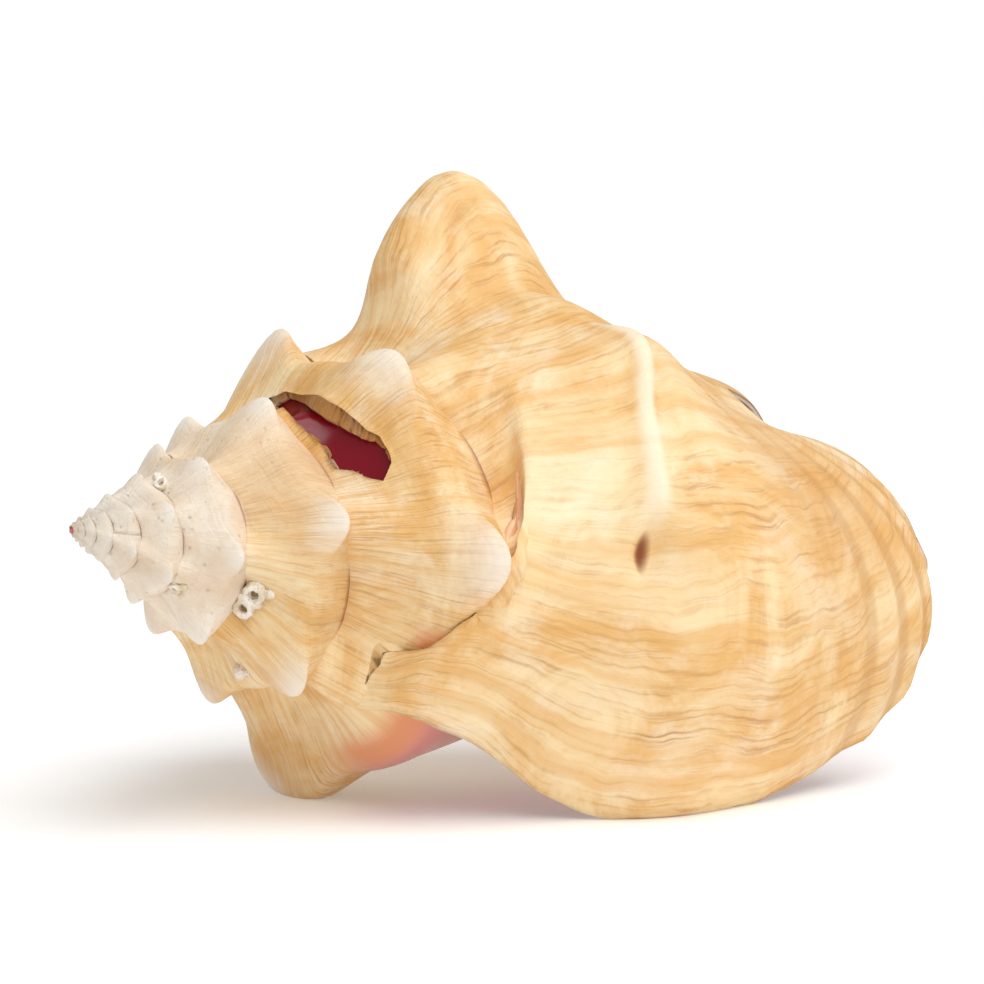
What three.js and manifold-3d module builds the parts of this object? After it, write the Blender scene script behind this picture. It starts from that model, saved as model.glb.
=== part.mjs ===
// A queen conch shell, grown as one piece, with a few small worm-tube crusts sitting on its spire.
// Millimetres, +Z up. The coil axis runs along X with the pointed apex toward -X; the flared lip is on -Y.
// The shell lies as it rests: on a worn spine under the body and on the rim of the lip.

import * as THREE from "three";
import { mergeVertices } from "three/addons/utils/BufferGeometryUtils.js";
import Module from "manifold-3d";

const wasm = await Module();
wasm.setup();

// ---------------------------------------------------------------- driving dimensions

// The profile is written in units of which the shell is about 190 long; this sets its real size.
const UNIT = 1.18;
// Each turn is this many times larger than the turn before it.
const TURN_GROWTH = 1.555;
// The coil axis dips toward the canal end by this many degrees.
const AXIS_DIP = 7;
// Wall thickness at the end of the last turn, and of the flared lip, in units.
const WALL = 4.2;
const LIP_WALL = 3.8;
// Height of the floor below the apex, in units; what reaches below it is worn flat.
const FLOOR = -60.9;
// Gap left under each crust.
const GAP = 0.3;

// Growth angle in degrees: it rises toward the lip and is zero on the lip side of the last turn.
const CHAMBER_START = -690;
const LIP_START = -75;

// ---------------------------------------------------------------- the shape of one turn

// Each profile runs from the suture, over the shoulder, to the canal end.
// Points are [distance along the axis, radius] for a turn at full size.
const BETWEEN_KNOBS = [
  [75.2, 37.7], [86, 47.5], [95.5, 60.5], [104, 63], [117, 59.5], [135, 54],
  [150, 48], [163, 41], [175, 33], [188, 22], [200, 9],
];
const KNOB = [
  [75.2, 37.7], [86, 54], [100, 76.5], [105, 73], [118, 63.5], [135, 55],
  [150, 48], [163, 41], [175, 33], [188, 22], [200, 9],
];
// On the last half turn the shoulder moves forward.
const LATE = [
  [75.2, 37.7], [87, 47], [100, 55], [113, 60.5], [124, 58.5], [138, 53],
  [150, 48], [163, 41], [175, 33], [188, 22], [200, 9],
];
// The largest knob stands on the back of the last turn; it is broad and blunt.
const GREAT_KNOB = [
  [75.2, 37.7], [86, 60], [91, 79], [111, 90], [125, 81], [136, 65],
  [150, 53], [163, 43], [175, 33], [188, 22], [200, 9],
];
const LAST_KNOB = [
  [75.2, 37.7], [88, 48], [101, 58], [115, 67.5], [126, 62.5], [138, 55],
  [150, 48], [163, 41], [175, 33], [188, 22], [200, 9],
];
// Under the lip one knob is smoothed over with glaze.
const GLAZED_KNOB = [
  [75.2, 37.7], [86, 49], [97, 63], [105, 64], [117, 60], [135, 54],
  [150, 48], [163, 41], [175, 33], [188, 22], [200, 9],
];
// Where the canal is, the front of the turn flares out as a spout.
const SPOUT = [
  [75.2, 37.7], [87, 47], [100, 55], [113, 60.5], [124, 58.5], [138, 53],
  [151, 48], [164, 42], [176, 38.5], [189, 43], [205, 36],
];
// The suture climbs onto the shoulder of the turn below wherever that has a knob.
const SUTURE_ON_KNOB = [68.5, 46.2];
// Each turn's back edge is let into the turn below by this much.
const SUTURE_SINK = 2.2;

// Knobs: [growth angle, reach compared with a regular knob].
const NAMED_KNOBS = [
  [-1342, 0.93], [-1262, 1], [-1200, 1.03], [-1138, 0.95], [-1073, 1], [-1013, 0.97], [-957, 0.98],
  [-905, 1], [-853, 1.03], [-794, 1], [-732, 1.03], [-665, 0.99], [-605, 1], [-541, 1],
  [-481, 1.03], [-421, 0.97], [-362, 1.03], [-245, 1.02], [-189, 1.04],
];
const EARLY_KNOB_SPACING = 62;
const EARLY_KNOBS = Array.from({ length: 24 }, (_, i) => [-1342 - EARLY_KNOB_SPACING * (i + 1), 0.98]);
const KNOBS = [...NAMED_KNOBS, ...EARLY_KNOBS];
const KNOB_HALF_WIDTH = 25;
// How far each profile point follows a knob's reach.
const REACH_SHARE = [0, 0.6, 1, 0.9, 0.35, 0.1, 0, 0, 0, 0, 0];

// Single features of the last turn: [profile, growth angle, half width in degrees].
const SPOUT_ANGLE = -88;
const SPOUT_HALF_WIDTH = 52;
const FEATURES = [
  [SPOUT, SPOUT_ANGLE, SPOUT_HALF_WIDTH],
  [GREAT_KNOB, -101, 33],
  [LAST_KNOB, -50, 26],
  [GLAZED_KNOB, -304, 26],
];

// The lip's rim, from its back corner round to the notch: [along the axis, degrees above the
// lip side, radius].
const LIP_RIM = [
  [57, -61, 34], [62, -46.5, 42], [79, -48, 48.5], [97, -49.5, 61.5], [113, -44.5, 69],
  [133, -42.3, 68], [152, -38.8, 65], [173, -28, 60.5], [179, -8, 56], [177, 14, 49], [172.5, 38, 40],
];
// The lip takes in this share of the profile, counted from the suture.
const LIP_SHARE = 0.8;
// Close to the suture the lip keeps to the coil for this much of its growth before it climbs.
const LIP_HELD = 0.62;
const LIP_HELD_SHARE = 0.16;
// A raised node on the lip's shoulder and a fold near its front, both in units; each has its
// place as a growth angle or growth share, a profile share, and a half width for both.
const SHOULDER_NODE = { height: 3, angle: -10, share: 0.3, halfAngle: 13, halfShare: 0.075 };
const FRONT_FOLD = { depth: 4, grown: 0.62, share: 0.66, halfGrown: 0.5, halfShare: 0.1 };

const rad = (degrees) => (degrees * Math.PI) / 180;
const clamp01 = (x) => Math.min(1, Math.max(0, x));
const ease = (x) => clamp01(x) ** 2 * (3 - 2 * clamp01(x));
const hump = (u, sharpness = 1) => (0.5 + 0.5 * Math.cos(Math.PI * Math.min(1, Math.abs(u)))) ** sharpness;
const mix = (a, b, share) => a.map((x, i) => x + (b[i] - x) * share);
const mixAll = (p, q, share) => p.map((point, i) => mix(point, q[i], share));
const sizeAt = (angle) => TURN_GROWTH ** (angle / 360);

// A smooth curve through the given points, at a share of its length; it runs on past its ends.
function along(points, share) {
  const last = points.length - 1;
  const i = Math.min(last - 1, Math.max(0, Math.floor(share * last)));
  const t = share * last - i;
  const b = points[i];
  const c = points[i + 1];
  const a = i > 0 ? points[i - 1] : b.map((x, k) => 2 * x - c[k]);
  const d = i < last - 1 ? points[i + 2] : c.map((x, k) => 2 * x - b[k]);
  return b.map((_, k) => 0.5 * (2 * b[k] + (c[k] - a[k]) * t
    + (2 * a[k] - 5 * b[k] + 4 * c[k] - d[k]) * t * t
    + (3 * b[k] - a[k] - 3 * c[k] + d[k]) * t ** 3));
}

// How strongly a regular knob is felt at a growth angle, and that knob's reach.
function knobAt(angle) {
  let strength = 0;
  let reach = 1;
  for (const [centre, knobReach] of KNOBS) {
    const felt = hump((angle - centre) / KNOB_HALF_WIDTH, 1.35);
    if (felt > strength) {
      strength = felt;
      reach = knobReach;
    }
  }
  return { strength, reach };
}

// A point of the coil's outer surface as [along the axis, radius]; without its knobs it is the
// smooth surface that the chamber follows.
function coilPoint(angle, share, knobbed = true) {
  const { strength, reach } = knobbed ? knobAt(angle) : { strength: 0, reach: 1 };
  const plain = mixAll(BETWEEN_KNOBS, LATE, ease((angle + 190) / 70));
  let profile = mixAll(plain, KNOB, strength).map((point, i) => {
    const extra = (reach - 1) * strength * REACH_SHARE[i];
    return [point[0] + extra * KNOB[i][0], point[1] + extra * KNOB[i][1]];
  });
  for (const [shape, centre, halfWidth] of FEATURES) {
    profile = mixAll(profile, shape, hump((angle - centre) / halfWidth));
  }
  const below = knobAt(angle - 360);
  profile[0] = mix(BETWEEN_KNOBS[0], SUTURE_ON_KNOB.map((x) => x * below.reach), below.strength);
  const climb = 0.35;
  profile[1] = profile[1].map((x, k) => x + climb * (profile[0][k] - BETWEEN_KNOBS[0][k]));
  profile[0][1] -= SUTURE_SINK;
  return along(profile, share).map((x) => x * sizeAt(angle));
}

// A point of the lip: `grown` runs from 0 at the last turn to 1 at the rim.
function lipPoint(grown, share, knobbed = true) {
  const rim = along(LIP_RIM, share / LIP_SHARE);
  const angle = LIP_START + (-rim[1] - LIP_START) * grown;
  const coil = coilPoint(angle, share, knobbed);
  const held = LIP_HELD * (1 - ease(share / LIP_SHARE / LIP_HELD_SHARE));
  const blend = ease((grown - held) / (1 - held));
  const [reach, radius] = mix(coil, [rim[0], rim[2]], blend);
  const raised = hump(Math.hypot(
    (angle - SHOULDER_NODE.angle) / SHOULDER_NODE.halfAngle,
    (share - SHOULDER_NODE.share) / SHOULDER_NODE.halfShare,
  ));
  const folded = hump((share - FRONT_FOLD.share) / FRONT_FOLD.halfShare)
    * hump((grown - FRONT_FOLD.grown) / FRONT_FOLD.halfGrown);
  return { angle, reach, radius: radius + SHOULDER_NODE.height * raised - FRONT_FOLD.depth * folded };
}

// From growth angle, distance along the axis and radius to the frame in which the shell lies.
function place(angle, reach, radius) {
  const around = rad(-angle);
  const up = radius * Math.sin(around);
  const dip = rad(-AXIS_DIP);
  return new THREE.Vector3(
    reach * Math.cos(dip) - up * Math.sin(dip),
    -radius * Math.cos(around),
    reach * Math.sin(dip) + up * Math.cos(dip),
  ).multiplyScalar(UNIT);
}

// ---------------------------------------------------------------- solids

// Corners nearer to each other than this, in millimetres, are one corner.
const WELD = 1e-3;

function solidFrom(geometry) {
  geometry.deleteAttribute("normal");
  geometry.deleteAttribute("uv");
  const merged = mergeVertices(geometry, WELD);
  const mesh = new wasm.Mesh({
    numProp: 3,
    vertProperties: Float32Array.from(merged.attributes.position.array),
    triVerts: Uint32Array.from(merged.index.array),
  });
  return new wasm.Manifold(mesh);
}

function solidFromTriangles(points, triangles) {
  let volume = 0;
  for (const [a, b, c] of triangles) {
    volume += points[a].dot(points[b].clone().cross(points[c]));
  }
  const outward = volume > 0 ? triangles : triangles.map(([a, b, c]) => [a, c, b]);
  const geometry = new THREE.BufferGeometry();
  geometry.setAttribute("position", new THREE.Float32BufferAttribute(points.flatMap((p) => p.toArray()), 3));
  geometry.setIndex(outward.flat());
  return solidFrom(geometry);
}

// A closed sheet between two grids of points that have the same rows and columns.
function sheetSolid(outer, inner) {
  const rows = outer.length;
  const cols = outer[0].length;
  const points = [...outer.flat(), ...inner.flat()];
  const top = (i, j) => i * cols + j;
  const bottom = (i, j) => rows * cols + i * cols + j;
  const last = rows - 1;
  const triangles = [];
  const quad = (a, b, c, d) => triangles.push([a, b, c], [a, c, d]);
  for (let i = 0; i < last; i += 1) {
    for (let j = 0; j < cols - 1; j += 1) {
      quad(top(i, j), top(i, j + 1), top(i + 1, j + 1), top(i + 1, j));
      quad(bottom(i, j), bottom(i + 1, j), bottom(i + 1, j + 1), bottom(i, j + 1));
    }
    quad(top(i, 0), top(i + 1, 0), bottom(i + 1, 0), bottom(i, 0));
    quad(top(i, cols - 1), bottom(i, cols - 1), bottom(i + 1, cols - 1), top(i + 1, cols - 1));
  }
  for (let j = 0; j < cols - 1; j += 1) {
    quad(top(0, j), bottom(0, j), bottom(0, j + 1), top(0, j + 1));
    quad(top(last, j), top(last, j + 1), bottom(last, j + 1), bottom(last, j));
  }
  return solidFromTriangles(points, triangles);
}

const steps = (from, to, count) => Array.from({ length: count + 1 }, (_, i) => from + ((to - from) * i) / count);

// Growth angles of a stretch: a few round each knob, so no knob is missed. The stretch starts a
// little inside the one before it.
function angleRows(from, to, offsets) {
  const lead = 5;
  const centres = [...KNOBS.map(([centre]) => centre), ...FEATURES.map(([, centre]) => centre)];
  const wanted = centres.flatMap((centre) => offsets.map((offset) => centre + offset));
  const rows = [from - lead, from + lead / 2];
  for (const angle of wanted.sort((a, b) => a - b)) {
    if (angle > rows[rows.length - 1] + lead && angle < to - lead) {
      rows.push(angle);
    }
  }
  return [...rows, to];
}

const CHAMBER_SHARES = [0.03, 0.12, 0.2, 0.3, 0.42, 0.56, 0.7, 0.82, 0.92, 1];
const FINE_OFFSETS = [-22, -10, 0, 10, 22];
const CHAMBER_OFFSETS = [-12, 12];
const COARSE_OFFSETS = [-16, 0, 16];

// A stretch starts a little thinner than the one before it, so its first end is buried there.
function buryStart(outer, inner, share) {
  const first = outer[0].map((point, j) => point.clone().lerp(inner[0][j], share));
  inner[0] = inner[0].map((point, j) => point.clone().lerp(outer[0][j], share));
  outer[0] = first;
  return sheetSolid(outer, inner);
}

// A grid of a surface with its knobs, and the grid one wall thickness inside it without them.
function wallGrids(surface, us, vs, wall) {
  const delta = 1e-3;
  const outer = us.map((u) => vs.map((v) => surface(u, v, true)));
  const inner = us.map((u) => vs.map((v) => {
    const alongU = surface(u + delta, v, false).sub(surface(u - delta, v, false));
    const alongV = surface(u, v + delta, false).sub(surface(u, v - delta, false));
    const inward = alongV.cross(alongU).normalize();
    return surface(u, v, false).addScaledVector(inward, wall(u, v) * UNIT);
  }));
  return { outer, inner };
}

// Profile shares, closer together over the shoulder where the knobs are.
const FINE_SHARES = [0, 0.08, 0.14, 0.19, 0.23, 0.28, 0.36, 0.48, 0.64, 0.8, 0.9, 1];
const COARSE_SHARES = [0, 0.1, 0.16, 0.2, 0.25, 0.32, 0.45, 1];

const coilSurface = (angle, share, knobbed = true) => place(angle, ...coilPoint(angle, share, knobbed));
const coilWall = (angle) => WALL * sizeAt(angle);

// The turns are first made solid right through to the axis.
function solidTurns(from, to, offsets, shares) {
  const thinnest = 0.3;
  const thinner = 0.02;
  const angles = angleRows(from, to, offsets);
  const outer = angles.map((angle) => shares.map((share) => coilSurface(angle, share)));
  const inner = angles.map((angle) => shares.map((share) => place(angle, coilPoint(angle, share)[0], thinnest)));
  return buryStart(outer, inner, thinner);
}

// The pillar's radius at a distance along the axis.
const pillarRadius = (reach) => 0.7 + 0.068 * reach;

// Radius of a turn's outer surface at a distance along the axis.
function radiusAt(angle, reach) {
  let radius = 0;
  let before = coilPoint(angle, 0);
  for (const share of steps(0, 1, 50)) {
    const point = coilPoint(angle, share);
    if (before[0] <= reach && point[0] > reach) {
      radius = Math.max(radius, mix(before, point, (reach - before[0]) / (point[0] - before[0]))[1]);
    }
    before = point;
  }
  return radius;
}

// The chamber inside the later turns, between their wall and the turn and pillar they wrap.
function chamberSolid(from, to) {
  const delta = 1e-3;
  const glaze = 1.5;
  const thinnest = 0.25;
  const thinner = 0.1;
  const usualEnd = 0.94;
  const spoutEnd = 1.08;
  const angles = angleRows(from, to, CHAMBER_OFFSETS);
  const grids = angles.map((angle) => CHAMBER_SHARES.map((rawShare) => {
    // At the canal the chamber runs out through the end of the spout.
    const inSpout = hump((angle - SPOUT_ANGLE) / SPOUT_HALF_WIDTH);
    const share = rawShare * (usualEnd + (spoutEnd - usualEnd) * inSpout);
    const point = coilPoint(angle, share, false);
    const next = coilPoint(angle, share + delta, false);
    const [forward, out] = [next[0] - point[0], next[1] - point[1]];
    const scale = coilWall(angle) / Math.hypot(forward, out);
    const [reach, ceiling] = [point[0] + out * scale, point[1] - forward * scale];
    const core = Math.max(radiusAt(angle - 360, reach), pillarRadius(reach)) + glaze * sizeAt(angle);
    return [place(angle, reach, ceiling), place(angle, reach, Math.min(core, ceiling - thinnest))];
  }));
  const ceilings = grids.map((row) => row.map(([ceiling]) => ceiling));
  const floors = grids.map((row) => row.map(([, floor]) => floor));
  return buryStart(ceilings, floors, thinner);
}

function lipSolid() {
  const thinner = 0.1;
  const grownSteps = [-0.04, 0.02, ...steps(0, 1, 11).slice(1)];
  const surface = (grown, share, knobbed) => {
    const { angle, reach, radius } = lipPoint(grown, share, knobbed);
    return place(angle, reach, radius);
  };
  const wall = (grown) => coilWall(LIP_START) + (LIP_WALL - coilWall(LIP_START)) * grown;
  const shares = FINE_SHARES.filter((share) => share <= LIP_SHARE);
  const { outer, inner } = wallGrids(surface, grownSteps, shares, wall);
  return buryStart(outer, inner, thinner);
}

// A round bar through rings given as { centre: [along, side, up], radius }, all square to the axis.
function barSolid(rings, sides) {
  const dip = rad(-AXIS_DIP);
  const points = rings.flatMap(({ centre, radius }) => Array.from({ length: sides }, (_, k) => {
    const turn = (2 * Math.PI * k) / sides;
    const up = centre[2] + radius * Math.sin(turn);
    return new THREE.Vector3(
      centre[0] * Math.cos(dip) - up * Math.sin(dip),
      centre[1] + radius * Math.cos(turn),
      centre[0] * Math.sin(dip) + up * Math.cos(dip),
    ).multiplyScalar(UNIT);
  }));
  const triangles = [];
  for (let i = 0; i < rings.length - 1; i += 1) {
    for (let k = 0; k < sides; k += 1) {
      const next = (k + 1) % sides;
      const [a, b, c, d] = [i * sides + k, i * sides + next, (i + 1) * sides + next, (i + 1) * sides + k];
      triangles.push([a, b, c], [a, c, d]);
    }
  }
  const end = (rings.length - 1) * sides;
  for (let k = 1; k < sides - 1; k += 1) {
    triangles.push([0, k + 1, k], [end, end + k, end + k + 1]);
  }
  return solidFromTriangles(points, triangles);
}

// The pillar the turns wind round; toward the canal it bends up to the back of the shell.
function pillarSolid() {
  const sides = 14;
  const pillarStart = 1.5;
  const bendStart = 128;
  const taperStart = 140;
  const pillarEnd = 178;
  const bendAngle = rad(65);
  const fullBend = 17;
  const endRadiusShare = 0.45;
  const rings = steps(pillarStart, pillarEnd, 14).map((reach) => {
    const bend = fullBend * Math.max(0, (reach - bendStart) / (pillarEnd - bendStart)) ** 1.6;
    const taper = 1 - (1 - endRadiusShare) * ease((reach - taperStart) / (pillarEnd - taperStart));
    return {
      centre: [reach, -bend * Math.cos(bendAngle), bend * Math.sin(bendAngle)],
      radius: pillarRadius(reach) * taper,
    };
  });
  return barSolid(rings, sides);
}

// The ragged hole broken through the ramp of the second last turn: [growth angle, profile share].
const HOLE_OUTLINE = [
  [-464, 0.114], [-450, 0.13], [-434, 0.1], [-424, 0.093], [-412, 0.115], [-402, 0.14], [-394, 0.14],
  [-388, 0.108], [-393, 0.075], [-400, 0.045], [-411, 0.04], [-420, 0.035], [-432, 0.03], [-450, 0.07],
];

function holeCutter() {
  const above = 3;
  const below = 5.5;
  const delta = 1e-3;
  const [middleAngle, middleShare] = [-420, 0.09];
  const middle = coilSurface(middleAngle, middleShare);
  const inward = coilSurface(middleAngle, middleShare + delta).sub(middle)
    .cross(coilSurface(middleAngle + delta, middleShare).sub(middle)).normalize();
  const count = HOLE_OUTLINE.length;
  const rims = [-above, below].map((depth) => HOLE_OUTLINE.map(([angle, share]) => (
    coilSurface(angle, share).addScaledVector(inward, depth * UNIT))));
  const flat = HOLE_OUTLINE.map(([angle, share]) => new THREE.Vector2(angle / 100, share * 10));
  const outlineTurn = Math.sign(THREE.ShapeUtils.area(flat));
  const faces = THREE.ShapeUtils.triangulateShape(flat, []).map(([a, b, c]) => (
    Math.sign(THREE.ShapeUtils.area([flat[a], flat[b], flat[c]])) === outlineTurn ? [a, b, c] : [a, c, b]));
  const triangles = [...faces];
  triangles.push(...faces.map(([a, b, c]) => [count + a, count + c, count + b]));
  for (let k = 0; k < count; k += 1) {
    const next = (k + 1) % count;
    triangles.push([k, count + next, next], [k, count + k, count + next]);
  }
  return solidFromTriangles(rims.flat(), triangles);
}

function floorBlock() {
  const size = 600;
  const geometry = new THREE.BoxGeometry(size, size, size);
  geometry.translate(0, 0, FLOOR * UNIT - size / 2);
  return solidFrom(geometry);
}

// The solid turns are made in stretches of half a turn, each ending midway between two knobs.
const between = (ends) => ends.slice(1).map((end, i) => [ends[i], end]);
const EARLY_STRETCHES = between([-2861, -2675, -2489, -2303, -2117, -1931, -1745, -1559, -1373, -1169, -985]);
const LATE_STRETCHES = between([-985, -823, -635, -451, -333, -217, LIP_START]);
const CHAMBER_STRETCHES = between([CHAMBER_START, -451, -217, LIP_START + 12]);

// Joining and cutting can leave crumbs and pockets too small to matter; only the largest body
// is the piece itself.
function withoutCrumbs(solid) {
  const { vertProperties, triVerts } = solid.getMesh();
  const geometry = new THREE.BufferGeometry();
  geometry.setAttribute("position", new THREE.Float32BufferAttribute(Array.from(vertProperties), 3));
  geometry.setIndex(Array.from(triVerts));
  const bodies = solidFrom(geometry.toNonIndexed()).decompose();
  return bodies.reduce((a, b) => (b.volume() > a.volume() ? b : a));
}

function shellSolid() {
  const parts = [
    pillarSolid(),
    ...EARLY_STRETCHES.map(([from, to]) => solidTurns(from, to, COARSE_OFFSETS, COARSE_SHARES)),
    ...LATE_STRETCHES.map(([from, to]) => solidTurns(from, to, FINE_OFFSETS, FINE_SHARES)),
  ];
  const solidCoil = parts.reduce((joined, part) => joined.add(part));
  const chamber = CHAMBER_STRETCHES.map(([from, to]) => chamberSolid(from, to)).reduce((a, b) => a.add(b));
  const whole = solidCoil.subtract(chamber).add(lipSolid());
  return withoutCrumbs(whole.subtract(holeCutter()).subtract(floorBlock()));
}

// ---------------------------------------------------------------- crusts

// Worm tubes and coral crumbs on the spire: lumps at [growth angle, profile share, radius in mm].
const CRUSTS = {
  crust_suture: [[-690, 0.05, 2.7], [-683, 0.03, 2.3], [-676, 0.035, 2.6]],
  crust_band: [[-1030, 0.03, 1.9], [-1022, 0.05, 1.4]],
  crust_upper: [[-1152, 0.04, 1.9], [-1160, 0.06, 1.5]],
  crust_spine: [[-638, 0.155, 1.9], [-635, 0.165, 1.7]],
};

function crustSolid(lumps, shell) {
  const lumpDetail = 1;
  const solids = lumps.map(([angle, share, radius]) => {
    const geometry = new THREE.IcosahedronGeometry(radius, lumpDetail);
    geometry.translate(...coilSurface(angle, share).toArray());
    return solidFrom(geometry);
  });
  const [angle, share] = lumps[0];
  const delta = 1e-3;
  const seat = coilSurface(angle, share);
  const outward = coilSurface(angle + delta, share).sub(seat)
    .cross(coilSurface(angle, share + delta).sub(seat)).normalize().multiplyScalar(GAP);
  const whole = solids.reduce((a, b) => a.add(b));
  return withoutCrumbs(whole.subtract(shell).subtract(shell.translate(outward.toArray())));
}

// ---------------------------------------------------------------- the object

const SHELL_COLOUR = 0xe6cf9c;
const CRUST_COLOUR = 0xeee8da;

function namedMesh(name, solid, colour, shift) {
  const { vertProperties, triVerts } = withoutCrumbs(solid.translate(shift)).getMesh();
  const geometry = new THREE.BufferGeometry();
  geometry.setAttribute("position", new THREE.Float32BufferAttribute(Array.from(vertProperties), 3));
  geometry.setIndex(Array.from(triVerts));
  const material = new THREE.MeshStandardMaterial({ color: colour, roughness: 0.6, metalness: 0 });
  const mesh = new THREE.Mesh(geometry, material);
  mesh.name = name;
  return mesh;
}

const shell = shellSolid();
const box = shell.boundingBox();
const shift = [-(box.min[0] + box.max[0]) / 2, -(box.min[1] + box.max[1]) / 2, -box.min[2]];

const group = new THREE.Group();
group.add(namedMesh("shell", shell, SHELL_COLOUR, shift));
for (const [name, lumps] of Object.entries(CRUSTS)) {
  group.add(namedMesh(name, crustSolid(lumps, shell), CRUST_COLOUR, shift));
}

export default group;
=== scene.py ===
import math

import bpy
import numpy as np
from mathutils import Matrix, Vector, noise


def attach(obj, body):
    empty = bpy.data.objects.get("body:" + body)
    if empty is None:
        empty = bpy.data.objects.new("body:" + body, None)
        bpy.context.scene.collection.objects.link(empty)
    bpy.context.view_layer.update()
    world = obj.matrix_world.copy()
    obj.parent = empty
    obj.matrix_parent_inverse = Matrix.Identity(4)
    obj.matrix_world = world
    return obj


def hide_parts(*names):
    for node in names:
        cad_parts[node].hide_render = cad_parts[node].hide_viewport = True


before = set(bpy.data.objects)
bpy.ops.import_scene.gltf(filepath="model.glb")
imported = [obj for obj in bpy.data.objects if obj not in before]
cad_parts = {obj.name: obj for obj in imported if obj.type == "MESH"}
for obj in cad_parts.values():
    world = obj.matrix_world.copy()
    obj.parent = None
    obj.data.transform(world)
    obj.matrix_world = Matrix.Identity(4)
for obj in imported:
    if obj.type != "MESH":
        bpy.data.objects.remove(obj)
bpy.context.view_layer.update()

MM = 0.001

# ---------------------------------------------------------------- floor, light and camera
# The shell lies on a plain white sheet, under broad soft lamps, and is looked at from a little
# above its lip side, with the pointed end to the left.

# The coil grows from this point, in millimetres; lengths of the shell are in units of UNIT mm.
APEX = np.array((-111.55, 1.95, 71.86))
UNIT = 1.18

scene = bpy.context.scene
scene.view_settings.view_transform = "Standard"
scene.view_settings.look = "None"

bpy.ops.object.select_all(action="DESELECT")
bpy.ops.mesh.primitive_plane_add(size=60)
floor = bpy.context.object
floor.name = "floor"
floor_paint = bpy.data.materials.new("white_sheet")
floor_paint.use_nodes = True
floor_shader = floor_paint.node_tree.nodes["Principled BSDF"]
floor_shader.inputs["Base Color"].default_value = (0.93, 0.93, 0.93, 1)
floor_shader.inputs["Roughness"].default_value = 0.9
floor_shader.inputs["Specular IOR Level"].default_value = 0.1
floor_shader.inputs["Emission Color"].default_value = (1, 1, 1, 1)
floor_shader.inputs["Emission Strength"].default_value = 0.16
floor.data.materials.append(floor_paint)

world = bpy.data.worlds.new("studio")
scene.world = world
world.use_nodes = True
backdrop = world.node_tree.nodes["Background"]
backdrop.inputs["Color"].default_value = (1, 1, 1, 1)
# The white cyclorama is brighter to look at than what it throws on the shell.
ray = world.node_tree.nodes.new("ShaderNodeLightPath")
strength = world.node_tree.nodes.new("ShaderNodeMapRange")
strength.inputs["To Min"].default_value = 0.45
strength.inputs["To Max"].default_value = 1.05
world.node_tree.links.new(ray.outputs["Is Camera Ray"], strength.inputs["Value"])
world.node_tree.links.new(strength.outputs[0], backdrop.inputs["Strength"])


def lamp(name, place, aim, size, watts):
    light = bpy.data.lights.new(name, "AREA")
    light.size = size
    light.energy = watts
    lamp_object = bpy.data.objects.new(name, light)
    scene.collection.objects.link(lamp_object)
    lamp_object.location = place
    lamp_object.rotation_euler = (Vector(aim) - Vector(place)).to_track_quat("-Z", "Y").to_euler()


lamp("key", (-0.5, -0.8, 0.9), (0, 0, 0.06), 0.5, 3.0)
lamp("fill", (0.9, -0.5, 0.5), (0, 0, 0.06), 0.9, 0.6)
overhead = bpy.data.objects.new("overhead", bpy.data.lights.new("overhead", "SUN"))
scene.collection.objects.link(overhead)
overhead.data.energy = 1.7
overhead.data.angle = math.radians(50)
overhead.rotation_euler = Vector((-0.15, 0.45, -1)).to_track_quat("-Z", "Y").to_euler()

# The camera looks along the shell from its pointed end's side, and a little down.
camera_turn = math.radians(39.7)
camera_drop = math.radians(6)
forward = np.array((
    math.sin(camera_turn) * math.cos(camera_drop),
    math.cos(camera_turn) * math.cos(camera_drop),
    -math.sin(camera_drop),
))
right = np.array((math.cos(camera_turn), -math.sin(camera_turn), 0))
upward = np.cross(right, forward)
apex_right, apex_up, apex_away = -80.6, -7.04, 755
camera_place = APEX - UNIT * (apex_right * right + apex_up * upward + apex_away * forward)
camera = bpy.data.objects.new("camera", bpy.data.cameras.new("camera"))
scene.collection.objects.link(camera)
camera.data.sensor_width = 36
camera.data.lens = 146.3
camera.location = camera_place * MM
camera.rotation_euler = Vector(forward).to_track_quat("-Z", "Y").to_euler()
scene.camera = camera

# ---------------------------------------------------------------- the shell
# One piece of natural shell, laid down by the animal as it grew: every turn repeats the one
# before it, larger by the same share, round one axis. Knobs stand on the shoulder; the last
# turn spreads into the lip. Its shape is a formula of growth angle and place along the turn.

TURN_GROWTH = 1.555
AXIS_DIP = 7
WALL = 4.2
LIP_WALL = 3.8

# Profiles of a full-size turn, from the suture over the shoulder to the canal end, as
# (distance along the axis, radius) in units.
FRONT = [(150, 48), (163, 41), (175, 33), (188, 22), (200, 9)]
BETWEEN_KNOBS = [(75.2, 37.7), (86, 47.5), (95.5, 60.5), (104, 63), (117, 59.5), (135, 54)] + FRONT
KNOB = [(75.2, 37.7), (86, 54), (100, 76.5), (105, 73), (118, 63.5), (135, 55)] + FRONT
LATE = [(75.2, 37.7), (87, 47), (100, 55), (113, 60.5), (124, 58.5), (138, 53)] + FRONT
GREAT_KNOB = [(75.2, 37.7), (88, 52), (91, 71.5), (106, 88.6), (119, 86), (129, 67),
              (146, 52), (163, 43), (175, 33), (188, 22), (200, 9)]
LOW_BACK = [(75.2, 37.7), (87, 46), (100, 52), (113, 56), (124, 53.5), (138, 47.5),
            (150, 43), (163, 38), (175, 33), (188, 22), (200, 9)]
LAST_KNOB = [(75.2, 37.7), (88, 47), (101, 56), (115, 63), (126, 57), (138, 49),
             (150, 43), (163, 38), (175, 33), (188, 22), (200, 9)]
SPINE = [(75.2, 37.7), (86, 56), (99, 78), (109, 76), (122, 66), (137, 56)] + FRONT
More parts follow.
